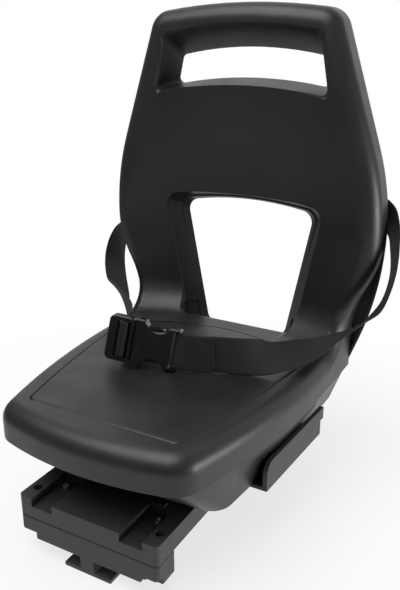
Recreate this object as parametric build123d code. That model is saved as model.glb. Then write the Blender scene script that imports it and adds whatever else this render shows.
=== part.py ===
"""Child bike seat that clips onto a rear carrier.

Two moulded shells make the seat pan and the backrest. A cradle and an adapter plate carry them,
and a hook in front and a spring latch behind hold the plate on the carrier. A lap belt of webbing,
with a side-release buckle, is screwed to the back of the seat.

Frame: X across the seat, -Y is where the rider's knees point, +Z up. The origin is the front end of
the hook's tongue, in the middle of its underside, which is also the level that the part stands on.
"""
import os
from math import acos, atan, atan2, cos, degrees, hypot, radians, sin

from build123d import *

# Driving dimensions, in millimetres and degrees

# Clearances
fit_gap = 0.3
running_gap = 0.05

# Adapter plate and its hook
plate_width = 160.0
plate_length = 300.0
plate_height = 22.0
plate_skin = 4.0
plate_rib = 4.0
plate_corner = 5.0
hook_depth = 31.0
hook_height = 23.0
hook_shoulder = 7.0
hook_centre_half = 61.0
hook_flange_depth = 52.0
hook_flange_thick = 7.0
hook_flange_half = 66.0
slot_height = 13.0
tongue_thick = 4.0
tongue_half = 27.0
stem_half = 8.0
foot_half = 7.0
foot_centre = 54.0
foot_depth = 14.0
foot_front = 8.0
foot_height = 3.5
tongue_depth = 16.0
recess_depth = 9.0
recess_inner = 39.0
recess_outer = 64.0
recess_rear = 52.0
hook_screw_x = 55.0
hook_screw_y = 41.0
corner_hole = 9.0
corner_hole_x = 71.0
corner_hole_y = 18.5
lug_size = 8.0
lug_depth = 6.0
lug_height = 2.0
lug_x = 51.0
parting_chamfer = 1.0

# Rear latch
latch_depth = 38.0
latch_half = 48.0
latch_height = 28.0
latch_foot = 14.0
latch_roof = 2.0
latch_screw_x = 32.0
pivot_back = 12.0
pivot_drop = 12.0
lever_width = 30.0
lever_thick = 6.0
lever_reach = 24.0
lever_tip = 3.0
latch_nose = 5.0
pin_diameter = 5.0
spring_width = 8.0
spring_thick = 0.8
spring_flat = 14.0

# Cradle between the plate and the seat
cradle_floor = 4.0
cradle_wall = 5.0
cradle_height = 31.0
cradle_lead = 36.0
cradle_tail = 24.0
cradle_front_half = 129.0
cradle_rear_half = 136.0
cradle_corner = 12.0
ear_length = 7.0
ear_height = 14.0

# Seat shells
shell_wall = 3.5
tub_height = 50.0
lip_height = 35.5
lip_inset = 3.0
edge_radius = 18.0
bend_radius = 40.0
pan_front = -9.0
pan_front_half = 104.0
pan_front_bow = 16.0
pan_rear_half = 139.0
pan_straight = 240.0
pan_corner = 30.0
tub_front = 57.0
tub_front_half = 108.0
tub_front_bow = 6.0
tub_rear_half = 118.0
tub_corner = 22.0

back_front = 295.0
back_depth = 46.0
rear_depth = 12.0
back_height = 364.5
back_half = 170.0
back_wide_level = 123.5
back_side_radius = 300.0
waist_rise = 3.0
back_shoulder_half = 116.0
back_shoulder_drop = 30.0
back_top_half = 109.0
back_top_bow = 8.5
back_corner = 25.0
back_shoulder_corner = 30.0
back_rear_radius = 11.0
core_chamfer = 10.0

# Hollow in the front of the back, deepest at the widest level, that runs out towards the handle
dish_depth = 30.0
dish_foot_depth = 29.0
dish_reach = 30.0
dish_top_drop = 40.0
dish_fade = 80.0

# Handle opening, front edge and rear hole, levels measured down from the top of the back
handle_front_top_half = 94.0
handle_front_bottom_half = 106.0
handle_front_top = 31.0
handle_front_bottom = 95.0
handle_rear_top_half = 87.0
handle_rear_bottom_half = 94.0
handle_rear_top = 57.0
handle_rear_bottom = 86.0
handle_bow = 9.0
handle_corner = 6.0

# Window behind the rider, front edge and rear hole, levels measured up from the rim of the pan
window_lip = 22.0
window_front_top_half = 103.0
window_front_bottom_half = 74.0
window_front_top = 148.0
window_rear_top_half = 81.0
window_rear_bottom_half = 49.0
window_rear_top = 138.0
window_sill = 20.0
sill_end = 15.0
sill_bar = 12.0
sill_radius = 10.0
hole_step = 2.0
window_bow = 9.0
window_corner = 14.0
opening_flare = 5.0

# Seat pad
pad_front = 28.5
pad_front_half = 84.0
pad_middle = 125.0
pad_middle_half = 104.5
pad_rear_half = 119.0
pad_rear_side = 235.0
pad_rear = 278.0
pad_thick = 6.3
pad_pocket = 6.0
pad_front_corner = 7.0
pad_rear_corner = 14.0

# Fasteners
post_size = 11.0
sleeve_size = 13.0
head_hole = 9.0
head_depth = 12.0
back_head_depth = 5.0
screw_diameter = 4.0
screw_head = 8.0
screw_head_height = 3.0
screw_grip = 14.0
bolt_diameter = 6.0
bolt_head = 10.0
bolt_head_height = 4.0
bolt_end = 2.0
nut_height = 5.0
washer_diameter = 16.0
washer_thick = 1.6
top_screw_x = 60.0
top_screw_drop = 14.0
side_screw_edge = 36.0
side_screw_level = 93.0
front_screw_x = 75.0
front_screw_y = 95.0
rear_screw_x = 85.0
rear_screw_y = 225.0
bolt_x = 55.0

# Belt
belt_width = 38.0
belt_thick = 1.6
anchor_width = 26.0
anchor_length = 46.0
anchor_thick = 3.0
anchor_corner = 6.0
anchor_tilt = 30.0
anchor_x = 112.0
anchor_level = 322.0
anchor_grip = 10.0
strap_tail = 20.0
strap_lead = 23.0
strap_run_in = 14.0
strap_stand_off = 20.0

# Courses of the straps: shares of the back's half width, of the depth to its rear face and of its
# height over the rim, then the direction across the strap there
RIGHT_COURSE = [
    (0.929, 1.008, 0.396, Vector(-0.50, 0.05, -0.86)),
    (1.018, 1.003, 0.364, Vector(-0.47, 0.66, -0.58)),
    (1.062, 0.965, 0.309, Vector(-0.42, 0.80, -0.43)),
    (1.085, 0.924, 0.243, Vector(-0.36, 0.86, -0.38)),
    (1.074, 0.880, 0.180, Vector(-0.35, 0.86, -0.38)),
    (1.035, 0.845, 0.136, Vector(-0.40, 0.85, -0.36)),
    (0.965, 0.806, 0.106, Vector(-0.46, 0.84, -0.30)),
    (0.847, 0.745, 0.078, Vector(-0.50, 0.85, -0.05)),
    (0.718, 0.669, 0.053, Vector(-0.46, 0.82, 0.35)),
    (0.588, 0.592, 0.045, Vector(-0.32, 0.68, 0.66)),
    (0.447, 0.534, 0.051, Vector(-0.10, 0.36, 0.93)),
]
RIGHT_RUN_IN = (0.282, 0.493, 0.056)
LEFT_COURSE = [
    (-0.929, 1.009, 0.369, Vector(-0.55, 0.10, 0.80)),
    (-1.071, 1.013, 0.298, Vector(-0.30, 0.75, 0.58)),
    (-1.129, 0.988, 0.221, Vector(0.05, 0.98, 0.10)),
    (-1.141, 0.962, 0.155, Vector(0.10, 0.95, -0.20)),
    (-1.088, 0.921, 0.100, Vector(0.20, 0.90, -0.40)),
    (-0.965, 0.853, 0.059, Vector(0.35, 0.60, -0.60)),
    (-0.782, 0.754, 0.057, Vector(0.30, 0.10, -0.90)),
    (-0.582, 0.645, 0.063, Vector(0.10, -0.10, -0.97)),
]
LEFT_RUN_IN = (-0.435, 0.545, 0.073)
BUCKLE_PLACE = (0.065, 0.450, 0.062)

# Buckle, along its own length from the strap bar of the body to the end of the tongue
buckle_run = Vector(-0.94, -0.30, 0.15)
buckle_lean = 12.0
buckle_body_length = 49.0
buckle_length = 77.0
buckle_width = 50.0
buckle_bar_width = 44.0
buckle_thick = 13.0
buckle_wall = 2.4
prong_length = 31.0
prong_width = 7.0
prong_outer = 18.7
prong_tip = 2.3
prong_thick = 7.0
guide_length = 24.0
guide_half = 4.0
finger_start = 12.0
finger_end = 38.0
finger_depth = 10.0
buckle_corner = 2.5
tongue_corner = 6.0
buckle_edge = 1.2
bar_width = 3.0
bar_thick = 5.0
tongue_step = 1.0
strap_slot_width = 5.0
ladder_bar = 4.5
bump_length = 8.0
bump_width = 16.0
bump_height = 1.0
bump_back = 8.0

PLATE_BAYS = 3

# Levels and places that follow from the sizes above
hook_bottom = tongue_thick + slot_height
plate_bottom = hook_bottom + hook_height
plate_top = plate_bottom + plate_height
tub_bottom = plate_top + cradle_floor
lip_level = tub_bottom + tub_height
rim_level = lip_level + lip_height
back_wide = rim_level + back_wide_level
back_top = rim_level + back_height
back_rear = back_front + back_depth
back_parting = back_rear - rear_depth
screw_hole = screw_diameter + 2 * running_gap
bolt_hole = bolt_diameter + 2 * fit_gap
bay_front = hook_flange_depth + plate_rib
bay_rear = plate_length - latch_depth - plate_rib
bay_pitch = (bay_rear - bay_front + plate_rib) / PLATE_BAYS
bay_length = bay_pitch - plate_rib
bolt_front_y = bay_front + bay_pitch + bay_length / 2
bolt_rear_y = bolt_front_y + bay_pitch
cradle_front = bolt_front_y - cradle_lead
cradle_rear = bolt_rear_y + cradle_tail
pivot_y = plate_length - pivot_back
pivot_z = plate_bottom - pivot_drop
belt_y = back_rear + fit_gap + belt_thick / 2
overshoot = 10.0

REARWARD = Vector(0, 1, 0)
ROUND_SIDES = 12
BELT_STEPS = 3
DISH_BEND = (20, 35, 50, 65, 80)
DISH_RISE = (0.0, 0.5, 1.0)
DISH_FADE = (0.2, 0.4, 0.6, 0.8, 1.0)
TINY = 0.01


def upright(y):
    """Plane across the seat at depth y, seen from the front: local x is X and local y is Z."""
    return Plane(origin=(0, y, 0), x_dir=(1, 0, 0), z_dir=(0, -1, 0))


def block(x0, x1, y0, y1, z0, z1):
    """Box between two corners."""
    size = Box(x1 - x0, y1 - y0, z1 - z0)
    return Pos((x0 + x1) / 2, (y0 + y1) / 2, (z0 + z1) / 2) * size


def rod(diameter, length):
    """Small round bar along Z, centred on the origin, with few flats because it is repeated so often."""
    return extrude(RegularPolygon(diameter / 2, ROUND_SIDES), amount=length / 2, both=True)


def post(x, y, z0, z1, diameter):
    """Upright bar from level z0 to level z1."""
    return Pos(x, y, (z0 + z1) / 2) * rod(diameter, z1 - z0)


def peg(x, z, y0, y1, diameter):
    """Level bar that runs front to rear, from depth y0 to depth y1."""
    return Pos(x, (y0 + y1) / 2, z) * Rot(X=90) * rod(diameter, y1 - y0)


def both_sides(shape):
    """The shape and its mirror image on the other side of the seat."""
    return shape + mirror(shape, about=Plane.YZ)


# Outlines of the seat

def tub_shape(front, front_half, bow, rear_half, rear, corner):
    """Plan of the pan: bowed front, rounded corners, sides that widen to the rear and end straight."""
    front_end = Vector(front_half, front + bow)
    run = pan_straight - front_end.Y
    turn = 2 * atan2(rear_half - front_half, run)
    nose = ThreePointArc((-front_end.X, front_end.Y), (0, front), front_end)
    right = JernArc((rear_half, pan_straight), (0, -1), run / sin(turn), -degrees(turn))
    right_end = Line((rear_half, pan_straight), (rear_half, rear))
    tail = Line((rear_half, rear), (-rear_half, rear))
    left = mirror(right, about=Plane.YZ)
    left_end = mirror(right_end, about=Plane.YZ)
    face = make_face([nose, right, right_end, tail, left_end, left])
    front_corners = face.vertices().sort_by(Axis.Y)[:2]
    return fillet(front_corners, corner)


def pan_plan(inset, rear):
    return tub_shape(
        pan_front + inset,
        pan_front_half - inset,
        pan_front_bow,
        pan_rear_half - inset,
        rear,
        pan_corner - inset,
    )


def tub_floor_plan(inset, rear):
    return tub_shape(
        tub_front + inset,
        tub_front_half - inset,
        tub_front_bow,
        tub_rear_half - inset,
        rear,
        tub_corner - inset,
    )


def back_outline(inset, waist_edges):
    """Front view of the backrest. Its right-hand edges below the widest level are given."""
    half = back_half - inset
    shoulder = Vector(back_shoulder_half - inset, back_top - back_shoulder_drop)
    centre = Vector(half - back_side_radius, back_wide)
    reach = shoulder - centre
    swing = degrees(atan2(reach.Y, reach.X) - acos(back_side_radius / hypot(reach.X, reach.Y)))
    flank = CenterArc(centre, back_side_radius, 0, swing)
    slant = Line(flank @ 1, shoulder)
    top_half = back_top_half - inset
    top = back_top - inset
    corner = Line(shoulder, (top_half, top - back_top_bow))
    arch = ThreePointArc((top_half, top - back_top_bow), (0, top), (-top_half, top - back_top_bow))
    right = [*waist_edges, flank, slant, corner]
    left = [mirror(edge, about=Plane.YZ) for edge in right]
    foot = waist_edges[-1] @ 1
    base = Line((-foot.X, foot.Y), foot)
    face = make_face([base, *right, arch, *left])
    shoulders = [corner for corner in face.vertices() if abs(corner.Y - shoulder.Y) < TINY]
    face = fillet(shoulders, back_shoulder_corner - inset)
    top_corners = face.vertices().sort_by(Axis.Y)[-2:]
    return fillet(top_corners, back_corner - inset)


def front_waist(inset, foot):
    """Edge of the front shell from its widest level in to the pan, as two arcs, then straight down."""
    wide = Vector(back_half - inset, back_wide)
    narrow = Vector(pan_rear_half - inset, rim_level + waist_rise)
    convex = TangentArc(wide, (wide + narrow) * 0.5, tangent=(0, -1))
    concave = TangentArc(convex @ 1, narrow, tangent=convex % 1)
    return [convex, concave, Line(narrow, (narrow.X, foot))]


def rear_waist(inset):
    """Edge of the rear shell from its widest level to the top of the tub, in line with the tub's side."""
    top_half = pan_rear_half - lip_inset
    slope = (top_half - tub_rear_half) / tub_height
    turn = atan(slope)
    drop = back_wide - lip_level
    radius = (top_half + slope * drop - back_half) / (slope * sin(turn) - 1 + cos(turn))
    flare = JernArc((back_half - inset, back_wide), (0, -1), radius, -degrees(turn))
    return [flare, Line(flare @ 1, (top_half - inset, lip_level))]


def arched_face(y, top_half, top, bottom_half, bottom, bow, bottom_bow, corner):
    """Opening across the back at depth y: slanted sides, arched top, arched or flat bottom."""
    crown = ThreePointArc((top_half, top), (0, top + bow), (-top_half, top))
    left = Line((-top_half, top), (-bottom_half, bottom))
    if bottom_bow:
        sill = ThreePointArc((-bottom_half, bottom), (0, bottom + bottom_bow), (bottom_half, bottom))
    else:
        sill = Line((-bottom_half, bottom), (bottom_half, bottom))
    right = Line((bottom_half, bottom), (top_half, top))
    face = make_face([crown, left, sill, right])
    if corner:
        face = fillet(face.vertices(), corner)
    return upright(y) * face


def between(front_value, rear_value, front, y):
    """Value at depth y of a size that tapers from depth front to the rear of the backrest."""
    share = (y - front) / (back_rear - front)
    return front_value + share * (rear_value - front_value)


def handle_face(y, grow, corner=handle_corner):
    top = back_top - between(handle_front_top, handle_rear_top, back_front, y) + grow
    bottom = back_top - between(handle_front_bottom, handle_rear_bottom, back_front, y) - grow
    top_half = between(handle_front_top_half, handle_rear_top_half, back_front, y) + grow
    bottom_half = between(handle_front_bottom_half, handle_rear_bottom_half, back_front, y) + grow
    return arched_face(y, top_half, top, bottom_half, bottom, handle_bow, handle_bow, corner)


def window_face(y, grow, bottom, corner=window_corner):
    lip = back_front + window_lip
    top = rim_level + between(window_front_top, window_rear_top, lip, y) + grow
    top_half = between(window_front_top_half, window_rear_top_half, lip, y) + grow
    bottom_half = between(window_front_bottom_half, window_rear_bottom_half, lip, y) + grow
    return arched_face(y, top_half, top, bottom_half, bottom, window_bow, 0, corner)


def funnel(*faces):
    """Solid that tapers through a row of like faces."""
    return loft(list(faces), ruled=True)


# Places of the fasteners, right-hand side

BACK_SCREWS = [
    (top_screw_x, back_top - top_screw_drop),
    (back_half - side_screw_edge, rim_level + side_screw_level),
]
PAN_SCREWS = [(front_screw_x, front_screw_y), (rear_screw_x, rear_screw_y)]
CRADLE_BOLTS = [(bolt_x, bolt_front_y), (bolt_x, bolt_rear_y)]


# Front shell

def seat_block(inset, open_by):
    """Pan, backrest and the hollow bend between them in one block, drawn in by inset all round."""
    top = rim_level - inset
    face_y = back_front + inset
    bend = bend_radius + inset
    foot = lip_level - open_by
    rear = back_parting + open_by
    outline = back_outline(inset, front_waist(inset, foot))
    pan = extrude(Pos(0, 0, foot) * pan_plan(inset, rear), amount=top - foot)
    back = extrude(upright(face_y) * outline, amount=rear - face_y, dir=REARWARD)
    bend_side = extrude(upright(face_y - bend) * outline, amount=bend, dir=REARWARD)
    hollow = CenterArc((face_y - bend, top + bend), bend, 270, 90)
    ledge = Line((face_y - bend, top), (face_y, top))
    riser = Line((face_y, top), (face_y, top + bend))
    wedge = extrude(Plane.YZ * make_face([ledge, riser, hollow]), amount=back_half, both=True)
    return pan + back + (wedge & bend_side)


def rim_edges(body, inset):
    """The edge that runs round the pan, up the bend and over the top of the backrest."""
    top = rim_level - inset
    face_y = back_front + inset
    bend = bend_radius + inset
    chosen = ShapeList()
    for edge in body.edges():
        box = edge.bounding_box()
        middle = edge.center()
        crosses_seat = box.size.X > pan_rear_half and box.size.Z < TINY and middle.Y > tub_front
        on_pan = abs(box.min.Z - top) < TINY and abs(box.max.Z - top) < TINY
        on_back = abs(box.min.Y - face_y) < TINY and abs(box.max.Y - face_y) < TINY
        beside_bend = face_y - bend < middle.Y < face_y - TINY and box.size.X < bend
        on_bend = beside_bend and middle.Z > top + TINY
        if (on_pan or on_back or on_bend) and not crosses_seat:
            chosen.append(edge)
    return chosen


def pad_plan(grow):
    """Outline of the pad inlay, or of its pocket when it is grown."""
    front_half = pad_front_half + grow
    rear_half = pad_rear_half + grow
    nose_y = pad_front - grow
    side_end = pad_rear_side + grow
    right = ThreePointArc((front_half, nose_y), (pad_middle_half + grow, pad_middle), (rear_half, side_end))
    tail = ThreePointArc((rear_half, side_end), (0, pad_rear + grow), (-rear_half, side_end))
    left = mirror(right, about=Plane.YZ)
    nose = Line((-front_half, nose_y), (front_half, nose_y))
    face = make_face([nose, right, tail, left])
    face = fillet(face.vertices().sort_by(Axis.Y)[:2], pad_front_corner + grow)
    rear_corners = [corner for corner in face.vertices() if abs(corner.Y - side_end) < TINY]
    return fillet(rear_corners, pad_rear_corner + grow)


def dish_section(level, rim, half, depth):
    """Level cut through the space in front of the back, bowed to the rear between its rims."""
    reach = half + dish_reach
    sag = depth * (reach**2 / half**2 - 1)
    ends = rim - sag
    front = rim - 2 * back_depth
    bow = ThreePointArc((-reach, ends), (0, rim + depth), (reach, ends))
    sides = Polyline((reach, ends), (reach, front), (-reach, front), (-reach, ends))
    return Pos(0, 0, level) * make_face([bow, *sides.edges()])


def dish():
    """Space that the rider's back sinks into: it follows the bend at its foot and runs out above."""
    foot_half = pan_rear_half - edge_radius
    wide_half = back_half - edge_radius
    top_half = back_shoulder_half - edge_radius
    bend_top = rim_level + bend_radius
    sections = []
    for angle in DISH_BEND:
        level = bend_top - bend_radius * cos(radians(angle))
        rim = back_front - bend_radius * (1 - sin(radians(angle)))
        share = (level - rim_level) / (back_wide - rim_level)
        half = foot_half + (wide_half - foot_half) * share
        sections.append(dish_section(level, rim, half, dish_foot_depth))
    run_out = back_top - dish_top_drop
    for share in DISH_RISE:
        level = bend_top + (back_wide - bend_top) * share
        half = foot_half + (wide_half - foot_half) * (level - rim_level) / (back_wide - rim_level)
        depth = dish_foot_depth + (dish_depth - dish_foot_depth) * share
        sections.append(dish_section(level, back_front, half, depth))
    for share in DISH_FADE:
        level = back_wide + (run_out - back_wide) * share
        half = wide_half + (top_half - wide_half) * share
        depth = dish_depth * cos(radians(dish_fade * share))**2
        sections.append(dish_section(level, back_front, half, depth))
    return funnel(*sections)


def window_tunnel(grow, bottom, end, corner=window_corner):
    """Window through the front shell: straight as far as its lip, then narrowing."""
    lip = back_front + window_lip
    mouth = window_face(lip, grow, bottom, corner)
    ahead = Pos(0, -window_lip - bend_radius - overshoot, 0) * mouth
    return funnel(ahead, mouth) + funnel(mouth, window_face(end, grow, bottom, corner))


def front_core():
    """The hollow of the front shell, less what stands in it: walls round the openings, shelf and posts."""
    end = back_parting + overshoot
    core = seat_block(shell_wall, overshoot)
    core = chamfer(rim_edges(core, shell_wall), core_chamfer)
    core -= Pos(0, shell_wall, -shell_wall) * dish()
    core -= funnel(handle_face(back_front, shell_wall, 0), handle_face(end, shell_wall, 0))
    core -= window_tunnel(shell_wall, rim_level - shell_wall, end, 0)
    shelf = rim_level - pad_pocket - shell_wall
    core -= extrude(Pos(0, 0, shelf) * pad_plan(shell_wall), amount=pad_pocket + shell_wall)
    sill_rear = back_front + sill_end
    sill_half = window_front_bottom_half + shell_wall
    core -= block(-sill_half, sill_half, sill_rear - sill_bar, end, rim_level - window_sill, rim_level)
    half = post_size / 2
    for x, z in BACK_SCREWS:
        core -= both_sides(block(x - half, x + half, back_front, back_parting, z - half, z + half))
    for x, y in PAN_SCREWS:
        core -= both_sides(block(x - half, x + half, y - half, y + half, lip_level, rim_level))
    return core


def sill_cut(end):
    """Space behind the rounded rear edge of the pan, under the window."""
    edge = back_front + sill_end
    start = edge - sill_radius
    floor = rim_level - window_sill
    roll = CenterArc((start, rim_level - sill_radius), sill_radius, 0, 90)
    below = Line((edge, floor), (edge, rim_level - sill_radius))
    above = rim_level + overshoot
    sides = Polyline((start, rim_level), (start, above), (end, above), (end, floor), (edge, floor))
    side = Plane.YZ * make_face([below, roll, *sides.edges()])
    return extrude(side, amount=back_half, both=True) & window_tunnel(0, floor, end)


def front_shell():
    end = back_parting + overshoot
    body = seat_block(0, 0)
    shell = fillet(rim_edges(body, 0), edge_radius) - front_core()
    shell -= dish()
    throat = back_front + opening_flare
    handle_mouth = Pos(0, -2 * opening_flare, 0) * handle_face(throat, 2 * opening_flare)
    shell -= funnel(handle_mouth, handle_face(throat, 0))
    shell -= funnel(handle_face(throat, 0), handle_face(end, 0))
    shell -= window_tunnel(0, rim_level, end)
    shell -= sill_cut(end)
    shell -= extrude(Pos(0, 0, rim_level - pad_pocket) * pad_plan(fit_gap), amount=pad_pocket + overshoot)
    for x, z in BACK_SCREWS:
        shell -= both_sides(peg(x, z, back_parting - screw_grip, end, screw_hole))
    for x, y in PAN_SCREWS:
        shell -= both_sides(post(x, y, lip_level - overshoot, lip_level + screw_grip, screw_hole))
    return shell


# Rear shell

def tub_block(inset, open_by):
    """Back half of the backrest and the tub under the pan in one block, drawn in by inset."""
    rear = back_rear - inset
    start = back_parting - open_by
    floor = Pos(0, 0, tub_bottom + inset) * tub_floor_plan(inset, rear)
    brim = Pos(0, 0, lip_level) * pan_plan(lip_inset + inset, rear)
    tub = funnel(floor, brim)
    if open_by:
        tub += extrude(brim, amount=open_by)
    outline = back_outline(inset, rear_waist(inset))
    return tub + extrude(upright(start) * outline, amount=rear - start, dir=REARWARD)


def rear_core():
    """The hollow of the rear shell, less the walls round the openings and the screw sleeves."""
    entry = back_parting - overshoot
    grow = shell_wall - hole_step
    window_bottom = rim_level - window_sill - shell_wall
    core = tub_block(shell_wall, overshoot)
    core -= funnel(handle_face(entry, shell_wall, 0), handle_face(back_rear, shell_wall, 0))
    core -= funnel(window_face(entry, grow, window_bottom, 0), window_face(back_rear, grow, window_bottom, 0))
    half = sleeve_size / 2
    for x, z in [*BACK_SCREWS, (anchor_x, anchor_level)]:
        core -= both_sides(block(x - half, x + half, back_parting, back_rear, z - half, z + half))
    for x, y in PAN_SCREWS:
        core -= both_sides(block(x - half, x + half, y - half, y + half, tub_bottom, lip_level))
    return core


def rear_hole(entry, throat, mouth):
    """Opening through the rear shell that flares where it comes out."""
    return funnel(entry, throat) + funnel(throat, Pos(0, 2 * opening_flare, 0) * mouth)


def rear_shell():
    body = tub_block(0, 0)
    rear_face = body.faces().sort_by(Axis.Y)[-1]
    rim = [edge for edge in rear_face.edges() if edge.center().Z > tub_bottom + TINY]
    shell = fillet(rim, back_rear_radius) - rear_core()
    entry = back_parting - overshoot
    throat = back_rear - opening_flare
    sill = rim_level - window_sill
    flare = 2 * opening_flare
    shell -= rear_hole(handle_face(entry, 0), handle_face(throat, 0), handle_face(throat, flare))
    shell -= rear_hole(
        window_face(entry, -hole_step, sill),
        window_face(throat, -hole_step, sill),
        window_face(throat, flare - hole_step, sill),
    )
    for x, z in BACK_SCREWS:
        shell -= both_sides(peg(x, z, back_parting - 1, back_rear, screw_hole))
        shell -= both_sides(peg(x, z, back_rear - back_head_depth, back_rear + 1, head_hole))
    for x, y in PAN_SCREWS:
        shell -= both_sides(post(x, y, tub_bottom, lip_level + 1, screw_hole))
        shell -= both_sides(post(x, y, tub_bottom - 1, lip_level - head_depth, head_hole))
    shell -= both_sides(peg(anchor_x, anchor_level, back_rear - anchor_grip, back_rear + 1, screw_hole))
    for x, y in CRADLE_BOLTS:
        shell -= both_sides(post(x, y, tub_bottom - 1, tub_bottom + shell_wall + 1, bolt_hole))
    return shell


def seat_pad():
    return extrude(Pos(0, 0, rim_level - pad_pocket) * pad_plan(0), amount=pad_thick)


# Cradle and adapter

def cradle_block(inset, front, rear, z0, z1):
    """Part of a tray that widens to the rear, between depths front and rear and levels z0 and z1."""
    slope = (cradle_rear_half - cradle_front_half) / (cradle_rear - cradle_front)
    front_half = cradle_front_half + slope * (front - cradle_front) - inset
    rear_half = cradle_front_half + slope * (rear - cradle_front) - inset
    corners = [(-front_half, front), (front_half, front), (rear_half, rear), (-rear_half, rear)]
    return extrude(Pos(0, 0, z0) * make_face(Polyline(*corners, close=True)), amount=z1 - z0)


def seat_cradle():
    top = plate_top + cradle_height
    ear_end = cradle_rear + ear_length
    tray = cradle_block(0, cradle_front, cradle_rear, plate_top, top)
    front_top = tray.faces().sort_by(Axis.Y)[0].edges().sort_by(Axis.Z)[-1]
    tray = fillet(front_top, cradle_corner)
    tray += cradle_block(0, cradle_rear, ear_end, top - ear_height, top)
    tray -= cradle_block(cradle_wall, cradle_front - 1, ear_end + 1, tub_bottom, top + 1)
    for x, y in CRADLE_BOLTS:
        tray -= both_sides(post(x, y, plate_top - 1, tub_bottom + 1, bolt_hole))
    return tray


def adapter_plate():
    half = plate_width / 2
    plate = block(-half, half, 0, plate_length, plate_bottom, plate_top)
    plate = fillet(plate.edges().filter_by(Axis.Z), plate_corner)
    plate = chamfer(plate.faces().sort_by(Axis.Z)[0].edges(), parting_chamfer)
    # Pockets under the plate, in two rows between ribs
    for bay in range(PLATE_BAYS):
        y0 = bay_front + bay * bay_pitch
        roof = plate_top - plate_skin
        pocket = block(plate_rib / 2, half - plate_rib, y0, y0 + bay_length, plate_bottom - 1, roof)
        plate -= both_sides(pocket)
    # Recesses of the front screws, open to the front, and the blind holes in the corners
    floor = plate_top - recess_depth
    recess = block(recess_inner, recess_outer, -1, recess_rear, floor, plate_top + 1)
    recess += post(hook_screw_x, hook_screw_y, plate_bottom - 1, plate_top, screw_hole)
    hole_depth = plate_height - plate_skin
    recess += Pos(corner_hole_x, corner_hole_y, plate_top) * Cylinder(corner_hole / 2, 2 * hole_depth)
    plate -= both_sides(recess)
    lug_half = lug_size / 2
    lug_rear = recess_rear + lug_depth
    lug_top = plate_top + lug_height
    lug = block(lug_x - lug_half, lug_x + lug_half, recess_rear, lug_rear, floor, lug_top)
    plate += both_sides(lug)
    for x, y in CRADLE_BOLTS:
        plate -= both_sides(post(x, y, plate_bottom, plate_top + 1, bolt_hole))
    latch_y = plate_length - latch_depth / 2
    bore = post(latch_screw_x, latch_y, plate_bottom - 1, plate_top, screw_hole)
    bore += post(latch_screw_x, latch_y, plate_top - head_depth, plate_top + 1, head_hole)
    return plate - both_sides(bore)


def hook_block():
    """Front end of the adapter: a broad foot with a T-shaped tongue that slides into the carrier."""
    half = plate_width / 2
    body = block(-half, half, 0, hook_depth, hook_bottom, plate_bottom)
    body = fillet(body.edges().filter_by(Axis.Z), plate_corner)
    body = chamfer(body.faces().sort_by(Axis.Z)[-1].edges(), parting_chamfer)
    shoulder = hook_bottom + hook_shoulder
    body -= both_sides(block(hook_centre_half, half + 1, -1, foot_front, hook_bottom - 1, shoulder))
    flange_bottom = plate_bottom - hook_flange_thick
    flange_half = hook_flange_half
    flange_front = hook_depth - plate_corner
    body += block(-flange_half, flange_half, flange_front, hook_flange_depth, flange_bottom, plate_bottom)
    body += block(-stem_half, stem_half, 0, tongue_depth, 0, hook_bottom)
    body += block(-tongue_half, tongue_half, 0, tongue_depth, 0, tongue_thick)
    foot_inner = foot_centre - foot_half
    foot_outer = foot_centre + foot_half
    foot_rear = foot_front + foot_depth
    foot_bottom = hook_bottom - foot_height
    body += both_sides(block(foot_inner, foot_outer, foot_front, foot_rear, foot_bottom, hook_bottom))
    bore = post(hook_screw_x, hook_screw_y, flange_bottom - 1, plate_bottom + 1, screw_hole)
    return body - both_sides(bore)


# Rear latch

def across(diameter, length):
    """Round bar on the latch's pivot, along X."""
    return Pos(0, pivot_y, pivot_z) * Rot(Y=90) * Cylinder(diameter / 2, length)


def latch_block():
    front = plate_length - latch_depth
    bottom = plate_bottom - latch_height
    body = block(-latch_half, latch_half, front, plate_length, bottom, plate_bottom)
    body += both_sides(block(latch_half - latch_foot, latch_half, front, plate_length, 0, bottom))
    slot = lever_width / 2 + fit_gap
    body -= block(-slot, slot, front + plate_rib, plate_length + 1, bottom - 1, plate_bottom - latch_roof)
    body -= across(pin_diameter + 2 * running_gap, 2 * latch_half + 2)
    latch_y = plate_length - latch_depth / 2
    bore = post(latch_screw_x, latch_y, plate_bottom - screw_grip, plate_bottom + 1, screw_hole)
    return body - both_sides(bore)


def latch_lever():
    """Bell crank on the pin: a hook that reaches down and forward, and a finger tab behind."""
    half = lever_width / 2
    arm_front = pivot_y - lever_thick / 2
    arm_rear = pivot_y + lever_thick / 2
    tab_bottom = pivot_z - lever_thick / 2
    tab_top = pivot_z + lever_thick / 2
    tab = block(-half, half, pivot_y, plate_length + lever_reach, tab_bottom, tab_top)
    tab = fillet(tab.edges().filter_by(Axis.Z).sort_by(Axis.Y)[-2:], lever_thick)
    lever = tab + block(-half, half, arm_front, arm_rear, lever_tip, pivot_z)
    lever += block(-half, half, arm_front - latch_nose, arm_front, lever_tip, lever_tip + lever_thick)
    lever += across(pin_diameter + lever_thick, lever_width)
    return lever - across(pin_diameter + 2 * running_gap, lever_width + 2)


def latch_pin():
    return across(pin_diameter, 2 * latch_half)


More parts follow.
